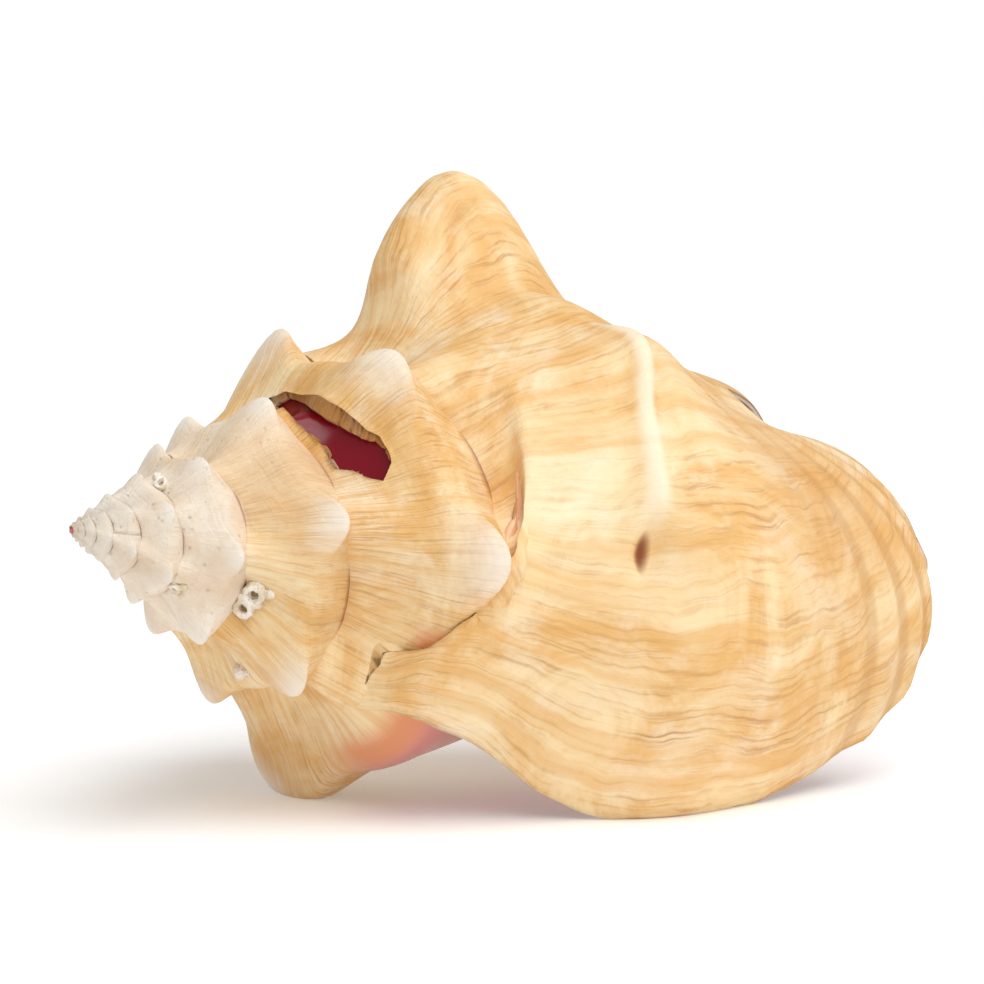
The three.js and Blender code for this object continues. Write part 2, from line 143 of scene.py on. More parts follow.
GLAZED_KNOB = [(75.2, 37.7), (86, 49), (97, 63), (105, 64), (117, 60), (135, 54)] + FRONT
SPOUT = [(75.2, 37.7), (87, 47), (100, 55), (113, 60.5), (124, 58.5), (138, 53),
         (151, 50), (162, 47.5), (172, 46), (181, 44), (188, 39)]
SUTURE_ON_KNOB = np.array((68.5, 46.2))
SUTURE_SINK = 2.2
SUTURE_CLIMB = 0.35

# Knobs as (growth angle, reach compared with a regular knob).
NAMED_KNOBS = [
    (-1342, 0.93), (-1262, 1), (-1200, 1.1), (-1138, 0.95), (-1073, 1), (-1013, 0.97), (-957, 0.98),
    (-905, 1), (-853, 1.1), (-794, 1), (-732, 1.03), (-665, 0.99), (-605, 1), (-541, 1),
    (-481, 1.12), (-421, 0.97), (-362, 1.03), (-245, 1.02), (-189, 1.04),
]
EARLY_KNOB_SPACING = 62
KNOBS = NAMED_KNOBS + [(-1342 - EARLY_KNOB_SPACING * (i + 1), 0.98) for i in range(34)]
KNOB_HALF_WIDTH = 25
REACH_SHARE = np.array((0, 0.6, 1, 0.9, 0.35, 0.1, 0, 0, 0, 0, 0))

# Single features of the last turn: profile, growth angle, half width before and after it.
FEATURES = [
    (SPOUT, -88, 52, 52),
    (LOW_BACK, -38, 40, 60),
    (GREAT_KNOB, -101, 21, 19),
    (LAST_KNOB, -50, 16, 18),
    (GLAZED_KNOB, -304, 26, 26),
    (SPINE, -245, 30, 30),
]

# The lip's rim from its back corner round to the notch, as (distance along the axis, degrees
# above the lip side, radius).
LIP_RIM = [
    (57, -61, 34), (62, -46.5, 42), (79, -48, 48.5), (97, -49.5, 61.5), (113, -44.5, 69),
    (133, -42.3, 68), (152, -37.4, 63.5), (171, -27, 58.5), (179, -8, 55.5), (177, 14, 49),
    (172.5, 38, 40),
]
LIP_START = -75
LIP_SHARE = 0.8
LIP_HELD = 0.62
LIP_HELD_SHARE = 0.16
# The ridge on the lip's shoulder: its share of the profile where the lip starts, its drift for
# each degree, its height in units and its half width. It ends in a pit at the pit's growth.
RIDGE_SHARE = 0.315
RIDGE_SLANT = 0.0024
RIDGE_HEIGHT = 1.7
RIDGE_HALF_WIDTH = 0.028
PIT_GROWTH = -33
PIT_SHARE = 0.222
PIT_DEPTH = 3.2
# The cords turn their phase this much, in radians, along the whole profile.
CORDS = 120
CORD_DRIFT = 0.03
CORD_HEIGHT = 0.6
FOLD_HEIGHT = 0.55
SHOULDER_LIFT = 6


def ease(x):
    x = np.clip(x, 0, 1)
    return x * x * (3 - 2 * x)


def hump(u, sharpness=1.0):
    return (0.5 + 0.5 * np.cos(np.pi * np.clip(np.abs(u), 0, 1))) ** sharpness


def curve_through(points, share):
    """A smooth curve through each item's points, at a share of its length."""
    last = points.shape[-2] - 1
    i = np.clip(np.floor(share * last).astype(int), 0, last - 1)
    t = (share * last - i)[..., None]

    def pick(k):
        index = np.clip(k, 0, last)[..., None, None]
        index = np.broadcast_to(index, index.shape[:-1] + (points.shape[-1],))
        return np.take_along_axis(points, index, -2)[..., 0, :]

    b, c = pick(i), pick(i + 1)
    a = np.where((i > 0)[..., None], pick(i - 1), 2 * b - c)
    d = np.where((i < last - 1)[..., None], pick(i + 2), 2 * c - b)
    squared = (2 * a - 5 * b + 4 * c - d) * t**2
    cubed = (3 * b - a - 3 * c + d) * t**3
    return 0.5 * (2 * b + (c - a) * t + squared + cubed)


def knob_at(angle):
    strength = np.zeros_like(angle)
    reach = np.ones_like(angle)
    for centre, knob_reach in KNOBS:
        felt = hump((angle - centre) / KNOB_HALF_WIDTH, 1.35)
        reach = np.where(felt > strength, knob_reach, reach)
        strength = np.maximum(strength, felt)
    return strength, reach


def coil_point(angle, share, knobbed):
    """Distance along the axis and radius, in units, on the outside of a turn."""
    each = (Ellipsis, None, None)
    strength, reach = knob_at(angle)
    strength = strength * knobbed
    plain, late, knob = np.array(BETWEEN_KNOBS, float), np.array(LATE, float), np.array(KNOB, float)
    profile = plain + (late - plain) * ease((angle + 190) / 70)[each]
    profile = profile + (knob - profile) * strength[each]
    profile = profile + ((reach - 1) * strength)[each] * REACH_SHARE[:, None] * knob
    for shape, centre, before, after in FEATURES:
        half_width = np.where(angle < centre, before, after)
        profile = profile + (np.array(shape, float) - profile) * hump((angle - centre) / half_width)[each]
    below, below_reach = knob_at(angle - 360)
    suture = plain[0] + (SUTURE_ON_KNOB * below_reach[..., None] - plain[0]) * below[..., None]
    profile[..., 0, :] = suture
    profile[..., 1, :] += SUTURE_CLIMB * (suture - plain[0])
    profile[..., 0, 1] -= SUTURE_SINK
    return curve_through(profile, share) * (TURN_GROWTH ** (angle / 360))[..., None]


def surface(growth, share, knobbed=1.0, deeper=0.0):
    """A point of the outside in metres, or one nearer to the axis by a depth in units. Growth is
    the growth angle up to the lip's start, and then runs on to zero at the lip's rim."""
    grown = np.clip((growth - LIP_START) / -LIP_START, 0, None)
    rims = np.broadcast_to(np.array(LIP_RIM, float), growth.shape + (len(LIP_RIM), 3))
    rim = curve_through(rims, share / LIP_SHARE)
    # The rim is a little uneven, most of all toward the front.
    uneven = np.sin(share * 70) + 0.6 * np.sin(share * 150 + 1)
    stretch = 1 + (0.002 + 0.003 * ease((share - 0.45) / 0.2)) * uneven
    angle = np.where(grown > 0, LIP_START + (-rim[..., 1] - LIP_START) * grown * stretch, growth)
    point = coil_point(angle, share, knobbed)
    by_suture = 1 - ease(share / LIP_SHARE / LIP_HELD_SHARE)
    held = LIP_HELD * by_suture
    settled = 1 - 0.2 * by_suture
    blend = ease((grown - held) / (settled - held))[..., None]
    point = point + (rim[..., (0, 2)] - point) * blend
    # Its back edge climbs over the shoulder of the turn it lies on.
    over_shoulder = SHOULDER_LIFT * 4 * blend[..., 0] * (1 - blend[..., 0]) * by_suture
    on_lip = grown > 0
    late = growth * on_lip
    shoulder_node = 3 * hump(np.hypot((angle + 12) / 13, (share - 0.26) / 0.075)) * on_lip
    front_fold = 1.5 * hump((share - 0.66) / 0.1) * hump((grown - 0.62) / 0.5) * on_lip
    # A white ridge along the shoulder, which ends in a pinched pit.
    crest = RIDGE_SHARE - RIDGE_SLANT * (late - LIP_START)
    ridge_length = ease((late + 68) / 8) * ease((-36 - late) / 5)
    ridge = RIDGE_HEIGHT * hump((share - crest) / RIDGE_HALF_WIDTH) * ridge_length * on_lip
    pit = PIT_DEPTH * hump(np.hypot((late - PIT_GROWTH) / 6, (share - PIT_SHARE) / 0.018)) * on_lip
    # Folds by the suture, and cords on the front of the lip.
    folds = FOLD_HEIGHT * np.sin(late * 1.35) * ease((0.21 - share) / 0.09) * on_lip
    folds = folds * ease((late + 42) / 12)
    cords = CORD_HEIGHT * np.sin(share * CORDS + late * CORD_DRIFT) * on_lip
    cords = cords * ease((share - 0.45) / 0.08) * ease((late + 60) / 30)
    cords = cords * (1 - 0.8 * ease((share - 0.66) / 0.08))
    relief = shoulder_node - front_fold + ridge - pit + folds + cords + over_shoulder
    return place(angle, point[..., 0], point[..., 1] + relief - deeper)


def place(angle, reach, radius):
    around = np.radians(-angle)
    up = radius * np.sin(around)
    dip = math.radians(-AXIS_DIP)
    along = reach * math.cos(dip) - up * math.sin(dip)
    height = reach * math.sin(dip) + up * math.cos(dip)
    return (np.stack((along, -radius * np.cos(around), height), -1) * UNIT + APEX) * MM


def inside_outline(u, v, outline):
    inside = np.zeros(u.shape, bool)
    for (u0, v0), (u1, v1) in zip(outline, outline[1:] + outline[:1]):
        if v0 != v1:
            crossing = (v0 > v) != (v1 > v)
            inside ^= crossing & (u < (u1 - u0) * (v - v0) / (v1 - v0) + u0)
    return inside


# The ragged hole broken through the second last turn, as (growth angle, share of the profile).
HOLE = [
    (-464, 0.114), (-456, 0.133), (-434, 0.098), (-424, 0.093), (-415, 0.105), (-408, 0.119),
    (-404, 0.137), (-398, 0.142), (-394, 0.139), (-388, 0.109), (-391, 0.084), (-396, 0.066),
    (-400, 0.036), (-406, 0.035), (-412, 0.039), (-419, 0.031), (-425, 0.024), (-432, 0.03),
    (-446, 0.06),
]

shell_points = []
shell_faces = []


def keep_faces(*groups):
    """Keeps the four-sided faces of one closed part, all turned to face outward."""
    faces = np.concatenate([np.asarray(group).reshape(-1, 4) for group in groups])
    corners = np.concatenate(shell_points)[faces]
    volume = 0
    for a, b, c in ((0, 1, 2), (0, 2, 3)):
        volume += np.einsum("ij,ij->", corners[:, a], np.cross(corners[:, b], corners[:, c]))
    shell_faces.append(faces if volume > 0 else faces[:, ::-1])


shell_growth = []
shell_share = []
shell_zone = []


def keep_points(points, growth, share, zone):
    first = sum(len(p) for p in shell_points)
    shell_points.append(points.reshape(-1, 3))
    shell_growth.append(np.broadcast_to(growth, points.shape[:-1]).reshape(-1))
    shell_share.append(np.broadcast_to(share, points.shape[:-1]).reshape(-1))
    shell_zone.append(np.broadcast_to(zone, points.shape[:-1] + (4,)).reshape(-1, 4))
    return first + np.arange(points[..., 0].size).reshape(points.shape[:-1])


def zones(growth, share, inside, edge):
    """Where the finish changes: inside, knob tip, broken or growing edge, glaze."""
    strength, _ = knob_at(growth)
    tip = strength**2.2 * hump((share - 0.2) / 0.085)
    glaze = ease((growth + 345) / 12) * ease((-266 - growth) / 22) * ease((share - 0.13) / 0.05)
    covered = ease((share - 0.4) / 0.03) * (growth < -330)
    return np.stack((np.maximum(inside, covered), tip, np.broadcast_to(edge, growth.shape), glaze), -1)


def hollow_sheet(growths, shares, hole):
    """The later turns and the lip as one wall with an outer and an inner side."""
    growth, share = np.meshgrid(growths, shares, indexing="ij")
    middle_growth = (growth[:-1, :-1] + growth[1:, 1:]) / 2
    middle_share = (share[:-1, :-1] + share[1:, 1:]) / 2
    kept = ~((middle_growth > LIP_START) & (middle_share > LIP_SHARE))
    broken = inside_outline(middle_growth, middle_share, hole)
    kept &= ~broken

    # Grid points round the hole move onto its outline.
    near = np.zeros(growth.shape, int)
    away = np.zeros(growth.shape, int)
    for down in (0, 1):
        for across in (0, 1):
            rows = slice(down, down + broken.shape[0])
            columns = slice(across, across + broken.shape[1])
            near[rows, columns] += broken
            away[rows, columns] += ~broken
    degree_mm, share_mm = 0.65, 100
    scale = np.array((degree_mm, share_mm))
    corners = np.array(hole) * scale
    for i, j in zip(*np.nonzero((near > 0) & (away > 0))):
        here = np.array((growth[i, j], share[i, j])) * scale
        best = None
        for a, b in zip(corners, np.roll(corners, -1, 0)):
            t = np.clip(np.dot(here - a, b - a) / np.dot(b - a, b - a), 0, 1)
            spot = a + (b - a) * t
            if best is None or np.linalg.norm(spot - here) < np.linalg.norm(best - here):
                best = spot
        growth[i, j], share[i, j] = best / scale

    outer = surface(growth, share)
    step_growth, step_share = 0.02, 1e-3
    along_growth = surface(growth + step_growth, share, 0.0) - surface(growth - step_growth, share, 0.0)
    along_share = surface(growth, share + step_share, 0.0) - surface(growth, share - step_share, 0.0)
    inward = np.cross(along_share, along_growth)
    inward /= np.linalg.norm(inward, axis=-1, keepdims=True)
    grown = np.clip((growth - LIP_START) / -LIP_START, 0, 1)
    coil_wall = WALL * TURN_GROWTH ** (np.minimum(growth, LIP_START) / 360)
    # The wall thins toward the front of the lip and round the canal.
    thinned = 1 - 0.72 * ease((share - 0.56) / 0.12) * ease((growth + 150) / 40)
    wall = (coil_wall + (LIP_WALL - coil_wall) * grown) * thinned * UNIT * MM
    plain = surface(growth, share, 0.0)
    inner = plain + inward * wall[..., None]
    # Along the suture the lip's wall goes straight down into the turn it lies on.
    rooted = 5 * (1 - ease(share / 0.04))
    straight = surface(growth, share, 0.0, wall / MM / UNIT + rooted)
    by_suture = (1 - ease(share / LIP_SHARE / 0.34)) * ease((growth + 90) / 20)
    inner += (straight - inner) * by_suture[..., None]
    # The first row lies a little deeper, hidden in the end of the turns before it.
    outer[0] += inward[0] * 0.4 * MM

    top = keep_points(outer, growth, share, zones(growth, share, 0.0, 0.0))
    low = keep_points(inner, growth, share, zones(growth, share, ease((share - 0.006) / 0.004), 0.0))
    rows, columns = np.nonzero(kept)
    outside_faces = np.stack((top[rows, columns], top[rows, columns + 1], top[rows + 1, columns + 1],
                              top[rows + 1, columns]), -1)
    inside_faces = np.stack((low[rows, columns], low[rows + 1, columns], low[rows + 1, columns + 1],
                             low[rows, columns + 1]), -1)

    # A rounded edge closes the wall wherever a kept cell has no kept neighbour.
    padded = np.pad(kept, 1)
    # Each side of a cell: the way to its neighbour, and the corners where the side starts and ends.
    sides = [
        ((-1, 0), (0, 1), (0, 0)),
        ((1, 0), (1, 0), (1, 1)),
        ((0, -1), (0, 0), (1, 0)),
        ((0, 1), (1, 1), (0, 1)),
    ]
    edge_start, edge_end, outward = [], [], {}
    for (di, dj), start, end in sides:
        open_side = kept & ~padded[1 + di:1 + di + kept.shape[0], 1 + dj:1 + dj + kept.shape[1]]
        for i, j in zip(*np.nonzero(open_side)):
            first, second = (i + start[0], j + start[1]), (i + end[0], j + end[1])
            edge_start.append(first)
            edge_end.append(second)
            for corner in (first, second):
                behind = (np.clip(corner[0] - di, 0, None), np.clip(corner[1] - dj, 0, None))
                across = outer[corner] - outer[behind]
                outward.setdefault(corner, []).append(across / max(np.linalg.norm(across), 1e-9))
    spots = list(outward)
    rows = np.array([spot[0] for spot in spots])
    columns = np.array([spot[1] for spot in spots])
    push = np.array([np.sum(outward[spot], 0) / len(outward[spot]) for spot in spots])
    thickness = np.linalg.norm(outer[rows, columns] - inner[rows, columns], axis=-1, keepdims=True)
    bulge = 0.3
    middle = (outer[rows, columns] + inner[rows, columns]) / 2
    middle += push * np.minimum(thickness, 5 * MM) * bulge
    shown = (growth[rows, columns] > -300) * ease((share[rows, columns] - 0.02) / 0.05)
    edge_zone = zones(growth[rows, columns], share[rows, columns], 0.0, shown)
    middle_index = keep_points(middle, growth[rows, columns], share[rows, columns], edge_zone)
    middle_of = {spot: middle_index[k] for k, spot in enumerate(spots)}
    walls = []
    for first, second in zip(edge_start, edge_end):
        walls.append((top[second], top[first], middle_of[first], middle_of[second]))
        walls.append((middle_of[second], middle_of[first], low[first], low[second]))
    keep_faces(outside_faces, inside_faces, walls)


def tube_faces(ring):
    """The faces of a closed tube through the given rings; each end is closed by a strip."""
    closed = np.concatenate((ring, ring[:, :1]), 1)
    groups = [np.stack((closed[:-1, :-1], closed[:-1, 1:], closed[1:, 1:], closed[1:, :-1]), -1)]
    for end, turned in ((ring[0], False), (ring[-1], True)):
        half = len(end) // 2
        left, back = end[:half], end[::-1][:half]
        caps = np.stack((left[:-1], back[:-1], back[1:], left[1:]), -1)
        groups.append(caps[:, ::-1] if turned else caps)
    return groups


def solid_tube(growths, shares):
    """The early turns: the outside only, closed behind by a strip deep inside the shell."""
    growth, share = np.meshgrid(growths, shares, indexing="ij")
    ring = keep_points(surface(growth, share), growth, share, zones(growth, share, 0.0, 0.0))
    keep_faces(*tube_faces(ring))


# The grid is closest where the knobs, the hole and the cords are.
SHARES = np.concatenate((
    np.linspace(0, 0.36, 46),
    np.linspace(0.36, LIP_SHARE, 46)[1:],
    np.linspace(LIP_SHARE, 1, 10)[1:],
))
growth_steps = np.concatenate((
    np.arange(-690, -475, 2.5), np.arange(-475, -380, 1.25), np.arange(-380, -330, 2.5),
    np.arange(-330, LIP_START, 2), np.linspace(LIP_START, 0, 76),
))
hollow_sheet(growth_steps, SHARES, HOLE)


def lining(growths, shares, depth_mm):
    """A thin dark red partition a little way inside the broken hole."""
    growth, share = np.meshgrid(growths, shares, indexing="ij")
    along_growth = surface(growth + 0.02, share, 0.0) - surface(growth - 0.02, share, 0.0)
    along_share = surface(growth, share + 1e-3, 0.0) - surface(growth, share - 1e-3, 0.0)
    inward = np.cross(along_share, along_growth)
    inward /= np.linalg.norm(inward, axis=-1, keepdims=True)
    sides = []
    for depth in (depth_mm, depth_mm + 0.8):
        points = surface(growth, share, 0.0) + inward * depth * MM
        sides.append(keep_points(points, -450.0, 0.1, np.array((1.0, 0, 0, 0))))
    top, low = sides
    around = [top[0, :], top[1:, -1], top[-1, -2::-1], top[-2:0:-1, 0]]
    below = [low[0, :], low[1:, -1], low[-1, -2::-1], low[-2:0:-1, 0]]
    top_loop, low_loop = np.concatenate(around), np.concatenate(below)
    rim_faces = np.stack((top_loop, low_loop, np.roll(low_loop, -1), np.roll(top_loop, -1)), -1)
    top_faces = np.stack((top[:-1, :-1], top[:-1, 1:], top[1:, 1:], top[1:, :-1]), -1)
    low_faces = np.stack((low[:-1, :-1], low[1:, :-1], low[1:, 1:], low[:-1, 1:]), -1)
    keep_faces(top_faces, low_faces, rim_faces)


lining(np.linspace(-478, -376, 30), np.linspace(0.012, 0.165, 14), 2.7)
solid_tube(np.linspace(-1000, -688, 125), np.linspace(0, 0.6, 44))
solid_tube(np.arange(-1800, -994, 4.0), np.linspace(0, 0.6, 28))
solid_tube(np.arange(-3400, -1792, 8.0), np.linspace(0, 0.6, 18))

# The pillar that the turns wind round, bent up toward the canal.
PILLAR_SIDES = 28
PILLAR_END = 178
PILLAR_BEND_START = 128
PILLAR_BEND = 17
PILLAR_LEAN = math.radians(65)
reach = np.linspace(1.5, PILLAR_END, 60)
bent = np.clip((reach - PILLAR_BEND_START) / (PILLAR_END - PILLAR_BEND_START), 0, None)
bend = PILLAR_BEND * bent ** 1.6
radius = (0.7 + 0.068 * reach) * (1 - 0.55 * ease((reach - 140) / (PILLAR_END - 140)))
turn = np.linspace(0, 2 * np.pi, PILLAR_SIDES, endpoint=False)
side = -bend[:, None] * math.cos(PILLAR_LEAN) + radius[:, None] * np.cos(turn)
up = bend[:, None] * math.sin(PILLAR_LEAN) + radius[:, None] * np.sin(turn)
dip = math.radians(-AXIS_DIP)
pillar = np.stack((
    reach[:, None] * math.cos(dip) - up * math.sin(dip),
    side,
    reach[:, None] * math.sin(dip) + up * math.cos(dip),
), -1) * UNIT + APEX
ring = keep_points(pillar * MM, -300.0, 0.9, np.array((1.0, 0, 0, 0)))
keep_faces(*tube_faces(ring))

points = np.concatenate(shell_points)
# What would reach below the floor is worn flat.
points[:, 2] = np.maximum(points[:, 2], 0)
# Only points that a face uses are kept.
all_faces = np.concatenate(shell_faces)
used, renumbered = np.unique(all_faces, return_inverse=True)
mesh = bpy.data.meshes.new("conch_shell")
mesh.from_pydata(points[used].tolist(), [], renumbered.reshape(all_faces.shape).tolist())
for name, values in (("growth", shell_growth), ("share", shell_share)):
    mesh.attributes.new(name, "FLOAT", "POINT").data.foreach_set("value", np.concatenate(values)[used])
zone_values = np.concatenate(shell_zone)[used]
mesh.attributes.new("zone", "FLOAT_COLOR", "POINT").data.foreach_set("color", zone_values.ravel())
mesh.update()
shell = bpy.data.objects.new("conch_shell", mesh)
scene.collection.objects.link(shell)
bpy.ops.object.select_all(action="DESELECT")
shell.select_set(True)
bpy.context.view_layer.objects.active = shell
bpy.ops.object.shade_smooth()
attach(shell, "root")
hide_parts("shell")


def add(tree, kind, inputs=None, **settings):
    """A new node; inputs are values or other nodes' output sockets."""
    node = tree.nodes.new(kind)
    for key, value in settings.items():
        setattr(node, key, value)
    for key, value in (inputs or {}).items():
        if isinstance(value, bpy.types.NodeSocket):
            tree.links.new(value, node.inputs[key])
        else:
            node.inputs[key].default_value = value
    return node


def math_node(tree, operation, a, b=0.0, clamp=False):
    return add(tree, "ShaderNodeMath", {0: a, 1: b}, operation=operation, use_clamp=clamp).outputs[0]


def blend_colour(tree, share, a, b, blend_type="MIX"):
    inputs = {"Factor": share, 6: a, 7: b}
    node = add(tree, "ShaderNodeMix", inputs, data_type="RGBA", blend_type=blend_type)
    return node.outputs[2]


def ramp(tree, value, low, high):
    """0 below low and 1 above high, eased between; with low above high it falls."""
    node = add(tree, "ShaderNodeMapRange", {"Value": value, "From Min": low, "From Max": high},
               interpolation_type="SMOOTHSTEP", clamp=True)
    return node.outputs[0]


def noise_of(tree, vector, scale, detail=4.0, roughness=0.55, distortion=0.0):
    node = add(tree, "ShaderNodeTexNoise", {
        "Vector": vector, "Scale": scale, "Detail": detail, "Roughness": roughness,
        "Distortion": distortion,
    })
    return node.outputs["Fac"]


def srgb(text):
    parts = [int(text[k:k + 2], 16) / 255 for k in (0, 2, 4)]
    return tuple(p / 12.92 if p <= 0.04045 else ((p + 0.055) / 1.055) ** 2.4 for p in parts) + (1.0,)


finish = bpy.data.materials.new("shell_outside_and_glaze")
finish.use_nodes = True
tree = finish.node_tree
shader = tree.nodes["Principled BSDF"]
growth = add(tree, "ShaderNodeAttribute", attribute_name="growth").outputs["Fac"]
share = add(tree, "ShaderNodeAttribute", attribute_name="share").outputs["Fac"]
zone = add(tree, "ShaderNodeAttribute", attribute_name="zone")
zone_parts = add(tree, "ShaderNodeSeparateColor", {"Color": zone.outputs["Color"]})
is_inside, is_tip, is_edge = zone_parts.outputs[0], zone_parts.outputs[1], zone_parts.outputs[2]
is_glazed = zone.outputs["Alpha"]
where = add(tree, "ShaderNodeTexCoord").outputs["Object"]

# Growth lines run along the profile, close together in growth; cords run the other way.
wander = math_node(tree, "MULTIPLY", noise_of(tree, where, 40, 3), 5.0)
line_place = add(tree, "ShaderNodeCombineXYZ", {
    "X": math_node(tree, "ADD", growth, wander), "Y": math_node(tree, "MULTIPLY", share, 6.0), "Z": 0.0,
}).outputs[0]
fine_lines = noise_of(tree, line_place, 1.5, 5, 0.62)
broad_lines = noise_of(tree, line_place, 0.3, 3, 0.5)
cord_place = add(tree, "ShaderNodeCombineXYZ", {
    "X": math_node(tree, "MULTIPLY", growth, 0.02), "Y": math_node(tree, "MULTIPLY", share, 46.0),
    "Z": 0.0,
}).outputs[0]
cords = noise_of(tree, cord_place, 1.0, 2, 0.5, 0.6)
mottle = noise_of(tree, where, 30, 6, 0.62, 1.2)
patches = noise_of(tree, where, 55, 6, 0.65)
speckle = noise_of(tree, where, 420, 4, 0.7)
pits = add(tree, "ShaderNodeTexVoronoi", {"Vector": where, "Scale": 330.0}).outputs["Distance"]

# Outside of the large turns: warm cream and ochre, with brown growth lines.
cream = srgb("F8DFB0")
pale = srgb("FAEBCF")
ochre = srgb("E6B26A")
brown = srgb("C08A4E")
body = blend_colour(tree, ramp(tree, mottle, 0.35, 0.68), cream, ochre)
patch_share = math_node(tree, "MULTIPLY", ramp(tree, patches, 0.45, 0.72), 0.7)
body = blend_colour(tree, patch_share, body, pale)
line_share = ramp(tree, fine_lines, 0.47, 0.68)
line_share = math_node(tree, "MULTIPLY", line_share, ramp(tree, mottle, 0.3, 0.62))
body = blend_colour(tree, math_node(tree, "MULTIPLY", line_share, 0.75), body, brown)
band_share = math_node(tree, "MULTIPLY", ramp(tree, broad_lines, 0.45, 0.68), 0.6)
body = blend_colour(tree, band_share, body, ochre)

# The small early turns are chalky, pinkish white and pitted.
chalk = blend_colour(tree, ramp(tree, patches, 0.35, 0.7), srgb("FCF1E0"), srgb("ECD3B6"))
pit_share = math_node(tree, "MULTIPLY", ramp(tree, pits, 0.16, 0.02), 0.35)
chalk = blend_colour(tree, pit_share, chalk, srgb("B58A63"))
ragged_growth = math_node(tree, "ADD", growth, math_node(tree, "MULTIPLY", patches, 90.0))
spire_share = ramp(tree, ragged_growth, -640, -860)
outside = blend_colour(tree, spire_share, body, chalk)


def around_spot(growth_at, share_at, growth_wide, share_wide):
    """1 at a place on the shell, falling to 0 at its half widths."""
    far = []
    for value, centre, wide in ((growth, growth_at, growth_wide), (share, share_at, share_wide)):
        offset = math_node(tree, "DIVIDE", math_node(tree, "SUBTRACT", value, centre), wide)
        far.append(math_node(tree, "MULTIPLY", offset, offset))
    return ramp(tree, math_node(tree, "ADD", *far), 1.0, 0.0)


drift = math_node(tree, "MULTIPLY", math_node(tree, "SUBTRACT", growth, LIP_START), -RIDGE_SLANT)
off_ridge = math_node(tree, "SUBTRACT", math_node(tree, "SUBTRACT", share, RIDGE_SHARE), drift)
off_ridge = math_node(tree, "ABSOLUTE", off_ridge)
ridge_here = ramp(tree, off_ridge, 0.018, 0.004)
ridge_here = math_node(tree, "MULTIPLY", ridge_here, ramp(tree, growth, -70, -62))
ridge_here = math_node(tree, "MULTIPLY", ridge_here, ramp(tree, growth, -34, -40))

# The front of the lip is a deeper ochre.
front_ochre = math_node(tree, "MULTIPLY", ramp(tree, share, 0.34, 0.5), ramp(tree, share, 0.76, 0.6))
front_ochre = math_node(tree, "MULTIPLY", front_ochre, ramp(tree, growth, -75, -45))
front_ochre = math_node(tree, "MULTIPLY", front_ochre, ramp(tree, growth, -12, -34))
outside = blend_colour(tree, math_node(tree, "MULTIPLY", front_ochre, 0.5), outside, srgb("D79E58"))
# Cords run round the front of the lip, with browner grooves between them.
cord_wave = math_node(tree, "MULTIPLY", share, CORDS)
cord_wave = math_node(tree, "ADD", cord_wave, math_node(tree, "MULTIPLY", growth, CORD_DRIFT))
cord_groove = ramp(tree, math_node(tree, "SINE", cord_wave), -0.1, -0.95)
cord_groove = math_node(tree, "MULTIPLY", cord_groove, ramp(tree, share, 0.44, 0.54))
cord_groove = math_node(tree, "MULTIPLY", cord_groove, ramp(tree, growth, -62, -35))
outside = blend_colour(tree, math_node(tree, "MULTIPLY", cord_groove, 0.42), outside, srgb("C08A4E"))

# The white ridge on the lip's shoulder, painted shade (dark brown) in the pit at its end, the darker
# canal and the worn white tips of the knobs.
outside = blend_colour(tree, math_node(tree, "MULTIPLY", ridge_here, 0.8), outside, pale)
# Painted shade: the pit at the end of the ridge is darkened to a deep brown.
painted_pit_shade = around_spot(PIT_GROWTH, PIT_SHARE, 3.0, 0.007)
outside = blend_colour(tree, painted_pit_shade, outside, srgb("8A4A22"))
canal_share = math_node(tree, "MULTIPLY", ramp(tree, share, 0.74, 0.84), ramp(tree, growth, -150, -120))
outside = blend_colour(tree, math_node(tree, "MULTIPLY", canal_share, 0.6), outside, srgb("C98A45"))
outside = blend_colour(tree, math_node(tree, "MULTIPLY", is_tip, 0.75), outside, srgb("FAF3E8"))

# Glaze inside: pink deep in the mouth, cream and orange toward the rim; crimson far inside.
pink = srgb("D98A88")
rose = srgb("C9646F")
crimson = srgb("7F0018")
peach = srgb("F6C9A0")
glaze = blend_colour(tree, ramp(tree, growth, -20, -150), peach, pink)
glaze = blend_colour(tree, ramp(tree, growth, -140, -260), glaze, rose)
glaze = blend_colour(tree, ramp(tree, growth, -365, -385), glaze, crimson)
wall_glaze = blend_colour(tree, ramp(tree, share, 0.17, 0.3), srgb("DB9062"), srgb("CB827B"))
coloured = blend_colour(tree, is_glazed, outside, wall_glaze)
coloured = blend_colour(tree, is_inside, coloured, glaze)
coloured = blend_colour(tree, is_edge, coloured, srgb("FCF8F0"))
tree.links.new(coloured, shader.inputs["Base Color"])

gloss_share = math_node(tree, "MAXIMUM", is_inside, is_glazed)
polish = {"Value": gloss_share, "To Min": 0.58, "To Max": 0.22}
tree.links.new(add(tree, "ShaderNodeMapRange", polish).outputs[0], shader.inputs["Roughness"])
shader.inputs["Specular IOR Level"].default_value = 0.35

fine_height = math_node(tree, "MULTIPLY", fine_lines, 0.5)
line_height = math_node(tree, "ADD", fine_height, math_node(tree, "MULTIPLY", broad_lines, 0.6))
height = math_node(tree, "ADD", line_height, math_node(tree, "MULTIPLY", cords, 0.35))
pit_height = math_node(tree, "MULTIPLY", spire_share, 0.5)
pit_height = math_node(tree, "MULTIPLY", ramp(tree, pits, 0.02, 0.22), pit_height)
height = math_node(tree, "ADD", height, pit_height)
height = math_node(tree, "ADD", height, math_node(tree, "MULTIPLY", speckle, 0.12))
rough_share = math_node(tree, "SUBTRACT", 1.0, gloss_share)
bump = add(tree, "ShaderNodeBump", {
    "Height": math_node(tree, "MULTIPLY", height, rough_share), "Strength": 0.7, "Distance": 0.0012,
})
tree.links.new(bump.outputs[0], shader.inputs["Normal"])
mesh.materials.append(finish)

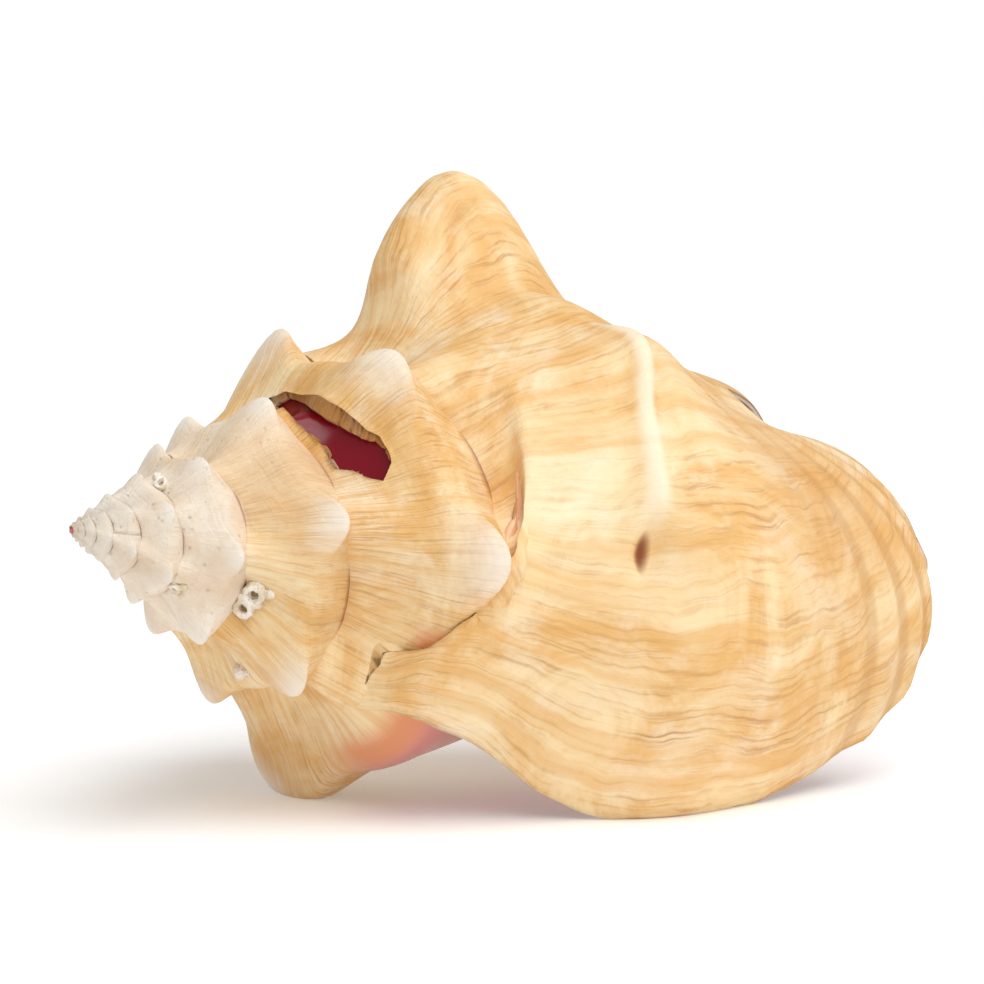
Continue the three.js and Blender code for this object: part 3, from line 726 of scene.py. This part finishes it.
# ---------------------------------------------------------------- crusts on the spire
# Chalky worm tubes and crumbs of coral that settled on the shell, stuck fast where they grew.
# A tube is a short ring of lime with an open mouth; the crumbs round it are porous lumps.

crust_finish = bpy.data.materials.new("porous_lime")
crust_finish.use_nodes = True
tree = crust_finish.node_tree
shader = tree.nodes["Principled BSDF"]
where = add(tree, "ShaderNodeTexCoord").outputs["Object"]
pores = add(tree, "ShaderNodeTexVoronoi", {"Vector": where, "Scale": 900.0}).outputs["Distance"]
tint = noise_of(tree, where, 260, 4)
lime = blend_colour(tree, ramp(tree, tint, 0.35, 0.7), srgb("F6F0E4"), srgb("DCC8A8"))
pore_share = math_node(tree, "MULTIPLY", ramp(tree, pores, 0.25, 0.05), 0.6)
lime = blend_colour(tree, pore_share, lime, srgb("8F6E4C"))
tree.links.new(lime, shader.inputs["Base Color"])
shader.inputs["Roughness"].default_value = 0.85
crust_bump = add(tree, "ShaderNodeBump", {"Height": pores, "Strength": 0.8, "Distance": 0.0006})
tree.links.new(crust_bump.outputs[0], shader.inputs["Normal"])

# Each crust: the CAD node, tubes as (growth angle, share, ring radius in mm) and crumbs alike.
CRUSTS = [
    ("crust_suture", [(-690, 0.05, 1.9), (-677, 0.035, 1.7)],
     [(-684, 0.06, 1.5), (-683, 0.02, 1.6), (-693, 0.09, 1.2)]),
    ("crust_band", [(-1030, 0.03, 1.1)], [(-1022, 0.05, 1.2), (-1035, 0.06, 1.0)]),
    ("crust_upper", [(-1152, 0.04, 1.1)], [(-1160, 0.06, 1.2)]),
    ("crust_spine", [], [(-638, 0.155, 1.6), (-635, 0.165, 1.4), (-641, 0.165, 1.0)]),
]


def surface_spot(growth_angle, profile_share):
    """A point of the shell's outside and the direction straight out of it."""
    g, s = np.array([growth_angle], float), np.array([profile_share], float)
    spot = surface(g, s)[0]
    along_growth = surface(g + 0.5, s)[0] - spot
    along_share = surface(g, s + 0.005)[0] - spot
    outward = np.cross(along_growth, along_share)
    return Vector(spot), Vector(outward).normalized()


for node, tubes, crumbs in CRUSTS:
    bpy.ops.object.select_all(action="DESELECT")
    grown_parts = []
    for growth_angle, profile_share, size in tubes:
        spot, outward = surface_spot(growth_angle, profile_share)
        turn = outward.to_track_quat("Z", "Y").to_euler()
        for level in (0.35, 0.95):
            bpy.ops.mesh.primitive_torus_add(
                major_segments=28, minor_segments=12,
                major_radius=size * MM, minor_radius=size * 0.42 * MM,
                location=spot + outward * level * size * MM, rotation=turn,
            )
            grown_parts.append(bpy.context.object)
    for growth_angle, profile_share, size in crumbs:
        spot, outward = surface_spot(growth_angle, profile_share)
        centre = spot + outward * 0.2 * size * MM
        bpy.ops.mesh.primitive_ico_sphere_add(subdivisions=4, radius=size * MM, location=centre)
        grown_parts.append(bpy.context.object)
    bpy.ops.object.select_all(action="DESELECT")
    for part in grown_parts:
        part.select_set(True)
    bpy.context.view_layer.objects.active = grown_parts[0]
    bpy.ops.object.join()
    crust = bpy.context.object
    crust.name = "worm_" + node
    bpy.ops.object.transform_apply(location=True, rotation=True, scale=True)
    merge = crust.modifiers.new("merge", "REMESH")
    merge.mode = "VOXEL"
    merge.voxel_size = 0.22 * MM
    bpy.ops.object.modifier_apply(modifier="merge")
    for vertex in crust.data.vertices:
        coarse, fine = noise.noise(vertex.co * 900), noise.noise(vertex.co * 2600)
        rough = coarse * 0.35 + fine * 0.15
        vertex.co += vertex.normal * rough * MM
    bpy.ops.object.shade_smooth()
    crust.data.materials.clear()
    crust.data.materials.append(crust_finish)
    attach(crust, "root")
    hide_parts(node)
